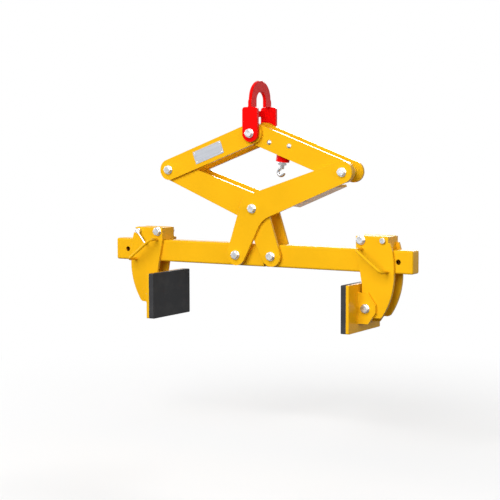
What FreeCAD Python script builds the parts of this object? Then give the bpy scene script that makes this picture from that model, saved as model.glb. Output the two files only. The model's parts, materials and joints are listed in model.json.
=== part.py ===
import FreeCAD, Part
import math
import os

import Sketcher

# Scissor lifting tongs for stone blocks, in millimetres.
# X runs along the beam, Y through the plates (front is -Y), Z is up.
# The origin is the bearing point of the lifting eye, under the crown of the bail.

DIMENSIONS = {
    # scissor linkage
    "eye_drop": 136,
    "link_length": 357,
    "fold_angle": 20.4,
    "lower_arm": 170,
    "lower_angle": 22.5,
    "plate_thick": 10,
    "layer_gap": 0.5,
    "side_gap": 4.5,
    "link_radius": 35,
    "hub_radius": 48,
    "elbow_radius": 80,
    # fasteners
    "bolt_dia": 16,
    "bolt_flats": 24,
    "bolt_head": 10,
    "nut_height": 13,
    "bolt_end": 5,
    "bolt_chamfer": 1.5,
    "plain_washer": 3,
    "washer_dia": 30,
    "pin_clearance": 0.1,
    "spacer_wall": 5,
    # bail
    "washer_thick": 4,
    "bail_thick": 10,
    "bail_width": 58,
    "bail_rise": 86,
    "bail_corner": 10,
    "ring_thick": 12,
    "ring_bore": 28,
    "ring_radius": 62.5,
    "ring_shoulder": 17,
    "crown_thick": 38,
    "ring_round": 3,
    "bar_thick": 12,
    "bar_height": 20,
    "bar_rise": 54,
    "bar_edge": 0,
    # beam
    "beam_height": 75,
    "beam_width": 50,
    "beam_wall": 5,
    "beam_corner": 7,
    "left_reach": 578,
    "right_reach": 571,
    "tube_margin": 25,
    "closing_gap": 11,
    "cap_thick": 10,
    "cap_round": 6,
    "cap_plug": 15,
    "stop_dia": 17,
    "stop_inset": 49.5,
    "guide_wall": 6,
    "guide_slack": 0.5,
    "guide_left": 190,
    "guide_right": 150,
    "guide_open": 68,
    "guide_shut": 12,
    "slot_clearance": 1.5,
    # data plate
    "label_length": 118,
    "label_width": 43,
    "label_thick": 1,
    "label_along": 184.5,
    "label_corner": 3,
    # latch
    "latch_along": 103,
    "latch_tilt": 8.8,
    "latch_pitch": 76,
    "screw_dia": 10,
    "screw_head_dia": 18,
    "screw_head": 6,
    "screw_nut": 8,
    "screw_nut_flats": 16,
    "latch_block_height": 30,
    "latch_block_margin": 14,
    "latch_slack": 0.3,
    "collar_dia": 45,
    "collar_drop": 59,
    "shank_dia": 16,
    "shank_inside": 50,
    "hook_drop": 94,
    "hook_radius": 11.5,
    "hook_wire": 10.5,
    "hook_sweep": 265,
    "hook_nut_flats": 28,
    "hook_nut_height": 8,
    "hook_nut_gap": 2.5,
    "catch_from_centre": 107,
    "catch_length": 84,
    "catch_thick": 8,
    "catch_lift": 3,
    "catch_slot": 52,
    "catch_slot_width": 20,
    "tie_start": 161,
    "tie_length": 120,
    "tie_thick": 8,
    "tie_top": 23.5,
    "rib_start": 45,
    "rib_length": 188,
    "rib_slant": 19,
    "rib_thick": 8,
    # jaws
    "left_grip": 360,
    "right_grip": 364,
    "jaw_thick": 10,
    "jaw_slack": 1,
    "jaw_lead": 14,
    "head_length": 113,
    "jaw_rise": 41.5,
    "notch_drop": 19,
    "notch_step": 7,
    "jaw_back": 147,
    "jaw_back_drop": 30,
    "shoulder_lift": 4,
    "jaw_toe": 106,
    "toe_rise": 4,
    "toe_flat": 8,
    "jaw_foot": 30,
    "jaw_relief": 8,
    "relief_drop": 4,
    "jaw_waist": 1,
    "head_bolt_in": 18.5,
    "head_bolt_drop": 12,
    "lock_pin_in": 17,
    "lock_pin_dia": 18,
    "lock_pin_head": 13,
    "lock_pin_tail": 8,
    "pull_rod_dia": 6,
    "pull_rod_back": 5,
    "pull_rod_reach": 56,
    "pull_rod_sink": 1,
    "pull_rod_ball": 9,
    "pull_rod_slope": 51,
    "seat_clearance": 0.5,
    "lower_bar_dia": 24,
    "lower_bar_in": 32,
    "handle_dia": 10,
    "handle_reach": 47,
    "handle_bend": 14,
    "handle_top_in": 21,
    "handle_top_drop": 39.5,
    "handle_span": 90,
    "handle_fall": 70,
    # pads
    "rubber_thick": 18,
    "pad_plate": 10,
    "pad_width": 225,
    "pad_height": 155,
    "pad_drop": 151,
    "pad_corner": 4,
    "pad_pivot": 26,
    "ear_gap": 0.6,
    "ear_thick": 10,
    "ear_height": 100,
    "ear_top": 35,
    "ear_reach": 61,
    "ear_nose": 26,
}

doc = FreeCAD.newDocument("LiftingTongs")
sheet = doc.addObject("Spreadsheet::Sheet", "Dims")
for row, (alias, number) in enumerate(DIMENSIONS.items(), start=1):
    sheet.set(f"B{row}", str(number))
    sheet.setAlias(f"B{row}", alias)
doc.recompute()

# Places that several pieces share, as expressions of the sheet.
TOP_Z = "(-Dims.eye_drop)"
CORNER_X = "(Dims.link_length * cos(Dims.fold_angle))"
CORNER_RISE = "(Dims.link_length * sin(Dims.fold_angle))"
CORNER_Z = f"({TOP_Z} - {CORNER_RISE})"
CENTRE_Z = f"({TOP_Z} - 2 * {CORNER_RISE})"
PIN_X = "(Dims.lower_arm * sin(Dims.lower_angle))"
BEAM_Z = f"({CENTRE_Z} - Dims.lower_arm * cos(Dims.lower_angle))"
INNER_LAYER = "(Dims.beam_width / 2 + Dims.side_gap)"
OUTER_LAYER = f"({INNER_LAYER} + Dims.plate_thick + Dims.layer_gap)"
BAIL_LAYER = f"({OUTER_LAYER} + Dims.plate_thick + Dims.washer_thick + 2 * Dims.layer_gap)"
INNER_FACE = f"({INNER_LAYER} + Dims.plate_thick)"
OUTER_FACE = f"({OUTER_LAYER} + Dims.plate_thick)"
BAIL_FACE = f"({BAIL_LAYER} + Dims.bail_thick)"
JAW_LAYER = "(Dims.beam_width / 2 + Dims.jaw_slack)"
JAW_FACE = f"({JAW_LAYER} + Dims.jaw_thick)"
EAR_LAYER = f"({JAW_FACE} + Dims.ear_gap)"
EAR_FACE = f"({EAR_LAYER} + Dims.ear_thick)"
PIVOT_HOLE = "(Dims.bolt_dia / 2 + Dims.pin_clearance)"
SPACER_RADIUS = f"({PIVOT_HOLE} + Dims.spacer_wall)"
HALF_BEAM = "(Dims.beam_height / 2)"
PAD_BACK = "(Dims.rubber_thick + Dims.pad_plate)"
PAD_PIVOT_U = f"({PAD_BACK} + Dims.pad_pivot)"
HEAD_TOP = f"({HALF_BEAM} + Dims.jaw_rise)"
HEAD_BOLT_U = "(Dims.jaw_lead + Dims.head_bolt_in)"
HEAD_BOLT_Z = f"({HEAD_TOP} - Dims.head_bolt_drop)"
LOCK_PIN_U = "(Dims.jaw_lead + Dims.head_length - Dims.lock_pin_in)"
LOWER_BAR_U = "(Dims.jaw_back - Dims.lower_bar_in)"
LOWER_BAR_Z = f"(-{HALF_BEAM} - Dims.seat_clearance - Dims.lower_bar_dia / 2)"

ALONG_Y = FreeCAD.Rotation(FreeCAD.Vector(1, 0, 0), -90)
TOWARDS_FRONT = FreeCAD.Rotation(FreeCAD.Vector(1, 0, 0), 90)
CHAMFER_SLOPE = "1.732"

pieces = []
counter = 0


def value(expression):
    """The number that an expression of the sheet has now."""
    return float(sheet.evalExpression(expression))


def add(kind, hint):
    """A new document object with a running number in its name."""
    global counter
    counter += 1
    return doc.addObject(kind, f"{hint}{counter}")


def bind(target, **expressions):
    """Bind properties of an object to expressions of the sheet."""
    for prop, expression in expressions.items():
        target.setExpression(prop, expression)
    return target


def place(target, x="0", y="0", z="0", rotation=None):
    """Bind an object's place to expressions, with a fixed rotation."""
    if rotation is not None:
        target.Placement = FreeCAD.Placement(FreeCAD.Vector(), rotation)
    target.setExpression("Placement.Base.x", x)
    target.setExpression("Placement.Base.y", y)
    target.setExpression("Placement.Base.z", z)
    return target


def finish(target, label):
    """Mark an object as a sub-part with its node name."""
    target.Label = label
    pieces.append(target)
    return target


# Plane geometry in sketch coordinates

def vector(point):
    return FreeCAD.Vector(point[0], point[1], 0)


def unit(angle):
    return FreeCAD.Vector(math.cos(angle), math.sin(angle), 0)


def arc(middle, end):
    """An outline step that reaches end on an arc through middle."""
    return ("arc", middle, end)


def arc_through(start, middle, end):
    """Sketch arc on three points, and which of its ends is the start."""
    circle = Part.Circle(start, middle, end)
    centre = circle.Center
    first = math.atan2(start.y - centre.y, start.x - centre.x)
    last = math.atan2(end.y - centre.y, end.x - centre.x)
    turn = (middle - start).cross(end - middle).z
    flat = Part.Circle(centre, FreeCAD.Vector(0, 0, 1), circle.Radius)
    if turn > 0:
        return Part.ArcOfCircle(flat, first, last), (1, 2)
    return Part.ArcOfCircle(flat, last, first), (2, 1)


def add_outline(sketch, outline, closed=True):
    """Draw an outline of corner points and arcs, joined end to end, and count its edges."""
    steps = list(outline[1:]) + ([outline[0]] if closed else [])
    joints = []
    here = vector(outline[0])
    for step in steps:
        if step[0] == "arc":
            there = vector(step[2])
            geometry, ends = arc_through(here, vector(step[1]), there)
        else:
            there = vector(step)
            if here.distanceToPoint(there) < 1e-6:
                continue
            geometry, ends = Part.LineSegment(here, there), (1, 2)
        joints.append((sketch.addGeometry(geometry, False), ends))
        here = there
    following = joints[1:] + (joints[:1] if closed else [])
    for (edge, ends), (other, other_ends) in zip(joints, following):
        sketch.addConstraint(Sketcher.Constraint("Coincident", edge, ends[1], other, other_ends[0]))
    return len(joints)


def add_hole(sketch, x, y, radius):
    """Draw a circle whose radius is bound to an expression."""
    circle = Part.Circle(vector((x, y)), FreeCAD.Vector(0, 0, 1), value(radius))
    index = sketch.addGeometry(circle, False)
    constraint = sketch.addConstraint(Sketcher.Constraint("Radius", index, value(radius)))
    sketch.setExpression(f"Constraints[{constraint}]", radius)


def capsule(first, second, radius):
    """Outline of two equal round ends joined by straight edges."""
    along = math.atan2(second[1] - first[1], second[0] - first[0])
    side = unit(along + math.pi / 2) * radius
    tip = unit(along) * radius
    a, b = vector(first), vector(second)
    return [tuple(a + side)[:2], arc(tuple(a - tip)[:2], tuple(a - side)[:2]),
            tuple(b - side)[:2], arc(tuple(b + tip)[:2], tuple(b + side)[:2])]


def rounded_rectangle(width, height, radius):
    """Outline of a rectangle about the origin with round corners."""
    outline = []
    for quarter in range(4):
        sx = 1 if quarter in (0, 3) else -1
        sy = 1 if quarter in (0, 1) else -1
        centre = FreeCAD.Vector(sx * (width / 2 - radius), sy * (height / 2 - radius), 0)
        begin = quarter * math.pi / 2
        points = [tuple(centre + unit(begin + part * math.pi / 4) * radius)[:2] for part in range(3)]
        outline += [points[0], arc(points[1], points[2])]
    return outline


def mirrored(outline):
    """The same outline with its first coordinate reversed."""
    def flip(point):
        return (-point[0], point[1])
    return [arc(flip(s[1]), flip(s[2])) if s[0] == "arc" else flip(s) for s in outline]


# Solids

def new_sketch(body, plane):
    """A sketch on one of a body's own origin planes."""
    support = next(f for f in body.Origin.OriginFeatures if f.Role == plane)
    sketch = body.newObject("Sketcher::SketchObject", f"Sketch{counter}_{plane}")
    sketch.AttachmentSupport = (support, [""])
    sketch.MapMode = "FlatFace"
    return sketch


def extrusion(outlines, holes, length, plane="XZ_Plane"):
    """Body padded from a sketch: XZ pads towards -Y, YZ towards +X, XY towards +Z."""
    body = add("PartDesign::Body", "Body")
    sketch = new_sketch(body, plane)
    for outline in outlines:
        add_outline(sketch, outline)
    for x, y, radius in holes:
        add_hole(sketch, x, y, radius)
    pad = body.newObject("PartDesign::Pad", f"Pad{counter}")
    pad.Profile = sketch
    bind(pad, Length=length)
    return body


def rounded(body, radius, wanted):
    """Fillet the edges of a body's last feature that a test picks."""
    doc.recompute()
    tip = body.Tip
    names = [f"Edge{i}" for i, edge in enumerate(tip.Shape.Edges, start=1) if wanted(edge)]
    fillet = body.newObject("PartDesign::Fillet", f"Fillet{counter}")
    fillet.Base = (tip, names)
    bind(fillet, Radius=radius)
    return body


def cylinder(radius, length, x="0", y="0", z="0", rotation=ALONG_Y):
    solid = bind(add("Part::Cylinder", "Cylinder"), Radius=radius, Height=length)
    return place(solid, x, y, z, rotation)


def box(length, width, height, x, y, z, rotation=None):
    solid = bind(add("Part::Box", "Box"), Length=length, Width=width, Height=height)
    return place(solid, x, y, z, rotation)


def fuse(*solids):
    joined = add("Part::MultiFuse", "Fuse")
    joined.Shapes = list(solids)
    return joined


def cut(base, *tools):
    result = add("Part::Cut", "Cut")
    result.Base = base
    result.Tool = tools[0] if len(tools) == 1 else fuse(*tools)
    return result


def common(first, second):
    shared = add("Part::Common", "Common")
    shared.Base = first
    shared.Tool = second
    return shared


def group(*solids):
    """Several separate solids of one node."""
    compound = add("Part::Compound", "Group")
    compound.Links = list(solids)
    return compound


def hexagon(flats, height, x, y, z, narrow_end, rotation=ALONG_Y):
    """Hexagonal prism whose corners are chamfered at one end, along +Y."""
    prism = add("Part::Prism", "Prism")
    prism.Polygon = 6
    bind(prism, Circumradius=f"{flats} / sqrt(3)", Height=height)
    place(prism, x, y, z, rotation)
    flat_radius = f"0.475 * {flats}"
    wide_radius = f"{flat_radius} + {CHAMFER_SLOPE} * {height}"
    ends = (flat_radius, wide_radius) if narrow_end == "start" else (wide_radius, flat_radius)
    cone = bind(add("Part::Cone", "Cone"), Radius1=ends[0], Radius2=ends[1], Height=height)
    place(cone, x, y, z, rotation)
    return common(prism, cone)


def stem(x, z, seat, rear, diameter, nut_height):
    """Shank from under a head to behind the nut, and its chamfered end."""
    end = f"({rear}) + {nut_height} + Dims.bolt_end - Dims.bolt_chamfer"
    shank = cylinder(f"{diameter} / 2", f"({seat}) + {end}", x, f"-({seat})", z)
    tip = bind(add("Part::Cone", "Tip"), Radius1=f"{diameter} / 2",
               Radius2=f"{diameter} / 2 - Dims.bolt_chamfer", Height="Dims.bolt_chamfer")
    return shank, place(tip, x, end, z, ALONG_Y)


def bolt(x, z, face, rear=None):
    """Hexagon bolt and its washer; the rear face is as far from the middle as the front one if not given."""
    seat = f"({face}) + Dims.plain_washer"
    head = hexagon("Dims.bolt_flats", "Dims.bolt_head", x, f"-({seat}) - Dims.bolt_head", z, "start")
    screw = fuse(head, *stem(x, z, seat, rear or face, "Dims.bolt_dia", "Dims.nut_height"))
    return [screw, tube(x, z, f"-({seat})", f"-({face})", "Dims.washer_dia / 2")]


def bolts(spots, label):
    """One node of bolts with their washers."""
    finish(group(*[solid for spot in spots for solid in bolt(*spot)]), label)


def round_screw(x, z, face):
    """Screw with a domed head from the front face to the rear face."""
    dome = "((Dims.screw_head_dia / 2)^2 + Dims.screw_head^2) / (2 * Dims.screw_head)"
    head = bind(add("Part::Sphere", "Dome"), Radius=dome, Angle1=f"asin(1 - Dims.screw_head / ({dome}))")
    place(head, x, f"{dome} - ({face}) - Dims.screw_head", z, TOWARDS_FRONT)
    return fuse(head, *stem(x, z, face, face, "Dims.screw_dia", "Dims.screw_nut"))


def nut(x, z, face, diameter="Dims.bolt_dia", flats="Dims.bolt_flats", height="Dims.nut_height"):
    """Hexagon nut that seats on the rear face."""
    blank = hexagon(flats, height, x, face, z, "end")
    return cut(blank, cylinder(f"{diameter} / 2 + Dims.pin_clearance", height, x, face, z))


def tube(x, z, start, end, outer=SPACER_RADIUS, bore=PIVOT_HOLE):
    """Spacer tube along Y from start to end."""
    length = f"({end}) - ({start})"
    return cut(cylinder(outer, length, x, start, z), cylinder(bore, length, x, start, z))


def front_and_rear(name, outline, holes, layer, thickness, x, z):
    """Two equal plates, one in front of the beam and one behind it."""
    front = place(extrusion([outline], holes, thickness), x, f"-{layer}", z)
    rear = place(extrusion([outline], holes, thickness), x, f"{layer} + {thickness}", z)
    finish(front, f"{name}_front")
    finish(rear, f"{name}_rear")


# Bail: a crown ring on two cheek plates, with a cross bar between them

def build_bail():
    half = value("Dims.bail_width / 2")
    rise = value("Dims.bail_rise")
    corner = value("Dims.bail_corner")
    slant = corner * (1 - math.sqrt(0.5))
    cheek = [(-half, 0), arc((0, -half), (half, 0)), (half, rise - corner),
             arc((half - slant, rise - slant), (half - corner, rise)), (-half + corner, rise),
             arc((-half + slant, rise - slant), (-half, rise - corner))]
    front_and_rear("bail_plate", cheek, [(0, 0, PIVOT_HOLE)], BAIL_LAYER, "Dims.bail_thick", "0", TOP_Z)

    outer = value("Dims.ring_radius")
    bore = value("Dims.ring_bore")
    crown = value("Dims.crown_thick")
    thick = value("Dims.ring_thick")
    foot = value(f"{TOP_Z} + Dims.bail_rise")
    ring = [(-outer, foot), (-bore, foot), (-bore, -bore), arc((0, 0), (bore, -bore)), (bore, foot),
            (outer, foot), (outer, crown - outer), arc((0, crown), (-outer, crown - outer))]

    def side_edge(edge):
        ends = [v.Point for v in edge.Vertexes]
        flat = all(abs(p.x) < 1e-6 for p in ends) or all(abs(p.x - thick) < 1e-6 for p in ends)
        return flat and max(p.z for p in ends) > foot + 1e-6

    loop = rounded(extrusion([ring], [], "Dims.ring_thick", "YZ_Plane"), "Dims.ring_round", side_edge)
    place(loop, "-Dims.ring_thick / 2")
    wide = value(BAIL_FACE)
    inner = outer - value("Dims.ring_round")
    top = foot + value("Dims.ring_shoulder")
    shoulder = [(inner, foot), (wide, foot), (wide, top), (outer, top + 3 * (wide - outer)),
                (inner, top + 3 * (wide - outer))]
    shoulders = [place(extrusion([outline], [], "Dims.ring_thick", "YZ_Plane"), "-Dims.ring_thick / 2")
                 for outline in (shoulder, mirrored(shoulder))]
    finish(fuse(loop, *shoulders), "bail_ring")
    bar = box("Dims.bar_thick", f"2 * {BAIL_LAYER}", "Dims.bar_height",
              "-Dims.bail_width / 2 + Dims.bar_edge", f"-{BAIL_LAYER}", f"{TOP_Z} + Dims.bar_rise")
    finish(bar, "bail_cross_bar")


def build_top_pivot():
    bolts([("0", TOP_Z, BAIL_FACE)], "top_bolt")
    finish(nut("0", TOP_Z, BAIL_FACE), "top_nut")
    finish(tube("0", TOP_Z, f"-{INNER_LAYER}", INNER_LAYER), "top_spacer")
    near = f"({OUTER_FACE} + Dims.layer_gap)"
    far = f"({near} + Dims.washer_thick)"
    spans = ((f"-{far}", f"-{near}"), (near, far))
    washers = [tube("0", TOP_Z, start, end, "Dims.washer_dia / 2") for start, end in spans]
    finish(group(*washers), "top_washers")


# Upper links

def link_point(side, along, offset=0.0):
    """Point of an upper link, from the top pivot: along its axis, and above it."""
    fold = math.radians(value("Dims.fold_angle"))
    x = along * math.cos(fold) + offset * math.sin(fold)
    return (side * x, -along * math.sin(fold) + offset * math.cos(fold))


def build_upper_links():
    radius = value("Dims.link_radius")
    length = value("Dims.link_length")
    left = capsule((0, 0), link_point(-1, length), radius)
    left_holes = [(0, 0, PIVOT_HOLE), (*link_point(-1, length), PIVOT_HOLE)]
    front_and_rear("left_link", left, left_holes, OUTER_LAYER, "Dims.plate_thick", "0", TOP_Z)
    bolts([(f"-{CORNER_X}", CORNER_Z, OUTER_FACE)], "left_corner_bolt")
    finish(nut(f"-{CORNER_X}", CORNER_Z, OUTER_FACE), "left_corner_nut")
    finish(tube(f"-{CORNER_X}", CORNER_Z, f"-{INNER_LAYER}", INNER_LAYER), "left_corner_spacer")

    right = capsule((0, 0), link_point(1, length), radius)
    bolt_hole = "Dims.screw_dia / 2 + Dims.pin_clearance"
    right_holes = [(0, 0, PIVOT_HOLE), (*link_point(1, length), PIVOT_HOLE)]
    right_holes += [(x, z, bolt_hole) for x, z in latch_bolt_places()]
    front_and_rear("right_link", right, right_holes, INNER_LAYER, "Dims.plate_thick", "0", TOP_Z)
    finish(tube(CORNER_X, CORNER_Z, f"-{INNER_LAYER}", INNER_LAYER), "right_corner_spacer")
    x, z = link_point(1, value("Dims.tie_start"), value("Dims.tie_top - Dims.tie_thick"))
    turn = FreeCAD.Rotation(FreeCAD.Vector(0, 1, 0), value("Dims.fold_angle"))
    tie = box("Dims.tie_length", f"2 * {INNER_LAYER}", "Dims.tie_thick", str(x), f"-{INNER_LAYER}",
              f"{TOP_Z} + {z}", turn)
    finish(tie, "link_tie")


def build_data_plate():
    corner = value("Dims.label_corner")
    outline = rounded_rectangle(value("Dims.label_length"), value("Dims.label_width"), corner)
    plate = extrusion([outline], [], "Dims.label_thick")
    x, z = link_point(-1, value("Dims.label_along"))
    turn = FreeCAD.Rotation(FreeCAD.Vector(0, 1, 0), -value("Dims.fold_angle"))
    finish(place(plate, str(x), f"-{OUTER_FACE}", f"{TOP_Z} + {z}", turn), "data_plate")


# Latch: housing between the right link's plates, with a turning hook

def latch_centre():
    return link_point(1, value("Dims.latch_along"))


def latch_point(across, down):
    """Point in the latch's tilted frame, from the top pivot."""
    tilt = math.radians(value("Dims.latch_tilt"))
    x, z = latch_centre()
    sine, cosine = math.sin(tilt), math.cos(tilt)
    return (x + across * cosine - down * sine, z - across * sine - down * cosine)


def latch_bolt_places():
    half = value("Dims.latch_pitch / 2")
    return [latch_point(-half, 0), latch_point(half, 0)]


def latch_place(across, down, y="0"):
    """Place expressions for a point of the latch."""
    x, z = latch_point(across, down)
    return {"x": str(x), "y": y, "z": f"{TOP_Z} + {z}"}


def build_latch():
    tilt = value("Dims.latch_tilt")
    upright = FreeCAD.Rotation(FreeCAD.Vector(0, 1, 0), tilt)
    half_width = f"({INNER_LAYER} - Dims.latch_slack)"
    length = "Dims.latch_pitch + 2 * Dims.latch_block_margin"
    half_height = value("Dims.latch_block_height / 2")
    at = latch_place(-value(length) / 2, half_height, f"-{half_width}")
    block = box(length, f"2 * {half_width}", "Dims.latch_block_height", rotation=upright, **at)
    drop = value("Dims.collar_drop")
    collar = cylinder("Dims.collar_dia / 2", "Dims.collar_drop", rotation=upright, **latch_place(0, drop))
    bore = cylinder("Dims.shank_dia / 2 + Dims.pin_clearance", "Dims.shank_inside", rotation=upright,
                    **latch_place(0, drop))
    bolt_radius = "Dims.screw_dia / 2 + Dims.pin_clearance"
    holes = [cylinder(bolt_radius, f"2 * {half_width}", str(x), f"-{half_width}", f"{TOP_Z} + {z}")
             for x, z in latch_bolt_places()]
    finish(cut(fuse(block, collar), bore, *holes), "latch_housing")

    fasteners = []
    for x, z in latch_bolt_places():
        spot = (str(x), f"{TOP_Z} + {z}", INNER_FACE)
        fasteners.append(round_screw(*spot))
        fasteners.append(nut(*spot, "Dims.screw_dia", "Dims.screw_nut_flats", "Dims.screw_nut"))
    finish(group(*fasteners), "latch_bolts")

    hook_top = value("Dims.collar_drop - Dims.shank_inside + Dims.pin_clearance")
    bowl = value("Dims.hook_drop")
    neck = value("Dims.hook_drop - Dims.hook_radius")
    shank_length = f"Dims.hook_drop - Dims.hook_radius - {hook_top}"
    shank = cylinder("Dims.shank_dia / 2", shank_length, rotation=upright, **latch_place(0, neck))
    wire = bind(add("Part::Torus", "Bowl"), Radius1="Dims.hook_radius", Radius2="Dims.hook_wire / 2",
                Angle3="Dims.hook_sweep")
    place(wire, rotation=upright * ALONG_Y * FreeCAD.Rotation(FreeCAD.Vector(0, 0, 1), 90 - 360 + 270),
          **latch_place(0, bowl))
    nut_gap = value("Dims.collar_drop + Dims.hook_nut_gap + Dims.hook_nut_height")
    at = latch_place(0, nut_gap)
    height = "Dims.hook_nut_height"
    blank = hexagon("Dims.hook_nut_flats", height, at["x"], at["y"], at["z"], "start", upright)
    thread = cylinder("Dims.shank_dia / 2 + Dims.pin_clearance", height, rotation=upright, **at)
    finish(group(fuse(shank, wire), cut(blank, thread)), "latch_hook")


# Bell-crank levers

def edge_normals(axis, length):
    """Normals of the two straight edges of a lever's arm, which narrows from the hub to its end."""
    lean = value("Dims.hub_radius - Dims.link_radius") / length
    across = FreeCAD.Vector(-axis.y, axis.x, 0) * math.sqrt(1 - lean * lean)
    return axis * lean + across, axis * lean - across


def lever_outline():
    """Lever from the right corner over the centre pivot down to the left pin."""
    fold = math.radians(value("Dims.fold_angle"))
    lower = math.radians(value("Dims.lower_angle"))
    hub = value("Dims.hub_radius")
    end = value("Dims.link_radius")
    elbow = value("Dims.elbow_radius")
    upper_axis = unit(fold)
    lower_axis = FreeCAD.Vector(-math.sin(lower), -math.cos(lower), 0)
    upper_tip = upper_axis * value("Dims.link_length")
    lower_tip = lower_axis * value("Dims.lower_arm")

    above, below = edge_normals(upper_axis, value("Dims.link_length"))
    inside, outside = edge_normals(lower_axis, value("Dims.lower_arm"))
    crook = (below + inside) * ((hub + elbow) / (1 + below.dot(inside)))
    crook_middle = crook - (below + inside).normalize() * elbow
    back = (above + outside).normalize() * hub

    def flat(point):
        return (point.x, point.y)

    return [flat(upper_tip + above * end), flat(above * hub),
            arc(flat(back), flat(outside * hub)), flat(lower_tip + outside * end),
            arc(flat(lower_tip + lower_axis * end), flat(lower_tip + inside * end)),
            flat(crook - inside * elbow), arc(flat(crook_middle), flat(crook - below * elbow)),
            flat(upper_tip + below * end),
            arc(flat(upper_tip + upper_axis * end), flat(upper_tip + above * end))]


def build_levers():
    outline = lever_outline()
    corner = (value(CORNER_X), value(CORNER_RISE))
    pin = (-value(PIN_X), value(f"{BEAM_Z} - {CENTRE_Z}"))
    holes = [(0, 0, PIVOT_HOLE), (*corner, PIVOT_HOLE), (*pin, PIVOT_HOLE)]
    thick = "Dims.plate_thick"
    finish(place(extrusion([outline], holes, thick), "0", f"-{OUTER_LAYER}", CENTRE_Z), "lever_a_plate")
    other_holes = [(-x, z, radius) for x, z, radius in holes]
    front_and_rear("lever_b", mirrored(outline), other_holes, INNER_LAYER, thick, "0", CENTRE_Z)

    side = "(Dims.beam_width / 2)"
    behind_plates = f"({INNER_FACE} + Dims.layer_gap)"
    behind_beam = f"({side} + Dims.layer_gap)"
    pivots = [(CORNER_X, CORNER_Z, behind_plates), ("0", CENTRE_Z, behind_plates),
              (f"-{PIN_X}", BEAM_Z, behind_beam)]
    bolts([(x, z, OUTER_FACE, rear) for x, z, rear in pivots], "lever_a_bolts")
    finish(group(*[nut(x, z, rear) for x, z, rear in pivots]), "lever_a_nuts")
    finish(tube("0", CENTRE_Z, f"-{INNER_LAYER}", INNER_LAYER), "centre_spacer")
    bolts([(PIN_X, BEAM_Z, INNER_FACE)], "right_pin_bolt")
    finish(nut(PIN_X, BEAM_Z, INNER_FACE), "right_pin_nut")
    finish(tube(f"-{PIN_X}", BEAM_Z, f"-{OUTER_LAYER}", f"-{side}"), "left_pin_spacer")
    pair = (tube(PIN_X, BEAM_Z, f"-{INNER_LAYER}", f"-{side}"), tube(PIN_X, BEAM_Z, side, INNER_LAYER))
    finish(group(*pair), "right_pin_spacers")


def build_rib():
    """Flat rib along the lower edge of lever A's upper arm, which the right link comes down to when open."""
    axis = unit(math.radians(value("Dims.fold_angle")))
    length = value("Dims.link_length")
    below = edge_normals(axis, length)[1]
    foot = axis * length + below * value("Dims.link_radius")
    near = -value("Dims.rib_start")
    far = near - value("Dims.rib_length")
    front = -value(OUTER_LAYER)
    rear = value(INNER_FACE)
    outline = [(near, front), (near, rear), (far, rear), (far + value("Dims.rib_slant"), front)]
    rib = extrusion([outline], [], "Dims.rib_thick", "XY_Plane")
    slope = math.degrees(math.atan2(below.x, -below.y))
    turn = FreeCAD.Rotation(FreeCAD.Vector(0, 1, 0), -slope)
    finish(place(rib, str(foot.x), "0", f"{CENTRE_Z} + {foot.y}", turn), "lever_a_rib")


def build_catch_plate():
    """Slotted plate across lever A, which the latch hook passes and catches."""
    fold = math.radians(value("Dims.fold_angle"))
    from_centre = value("Dims.catch_from_centre")
    width = value(f"2 * {OUTER_LAYER}")
    plate = [rounded_rectangle(value("Dims.catch_length"), width, value("Dims.pad_corner"))]
    slot = value("Dims.catch_slot_width / 2")
    half = value("Dims.catch_slot / 2") - slot
    plate.append(capsule((-half, 0), (half, 0), slot))
    body = extrusion(plate, [], "Dims.catch_thick", "XY_Plane")
    turn = FreeCAD.Rotation(FreeCAD.Vector(0, 1, 0), -math.degrees(fold))
    low = value("Dims.catch_thick / 2 - Dims.catch_lift")
    x = from_centre * math.cos(fold) + low * math.sin(fold)
    z = from_centre * math.sin(fold) - low * math.cos(fold)
    finish(place(body, str(x), "0", f"{CENTRE_Z} + {z}", turn), "latch_catch_plate")


# Telescopic beam

def section(width, height, corner, wall, length):
    """Rectangular hollow section along X, from X = 0."""
    outer = rounded_rectangle(width, height, corner)
    inner = rounded_rectangle(width - 2 * wall, height - 2 * wall, max(corner - wall, wall / 4))
    return extrusion([outer, inner], [], length, "YZ_Plane")


def cross_hole(radius, x, reach):
    """Drill along Y through both walls of the beam."""
    return cylinder(radius, f"2 * ({reach})", x, f"-({reach})", BEAM_Z)


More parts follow.
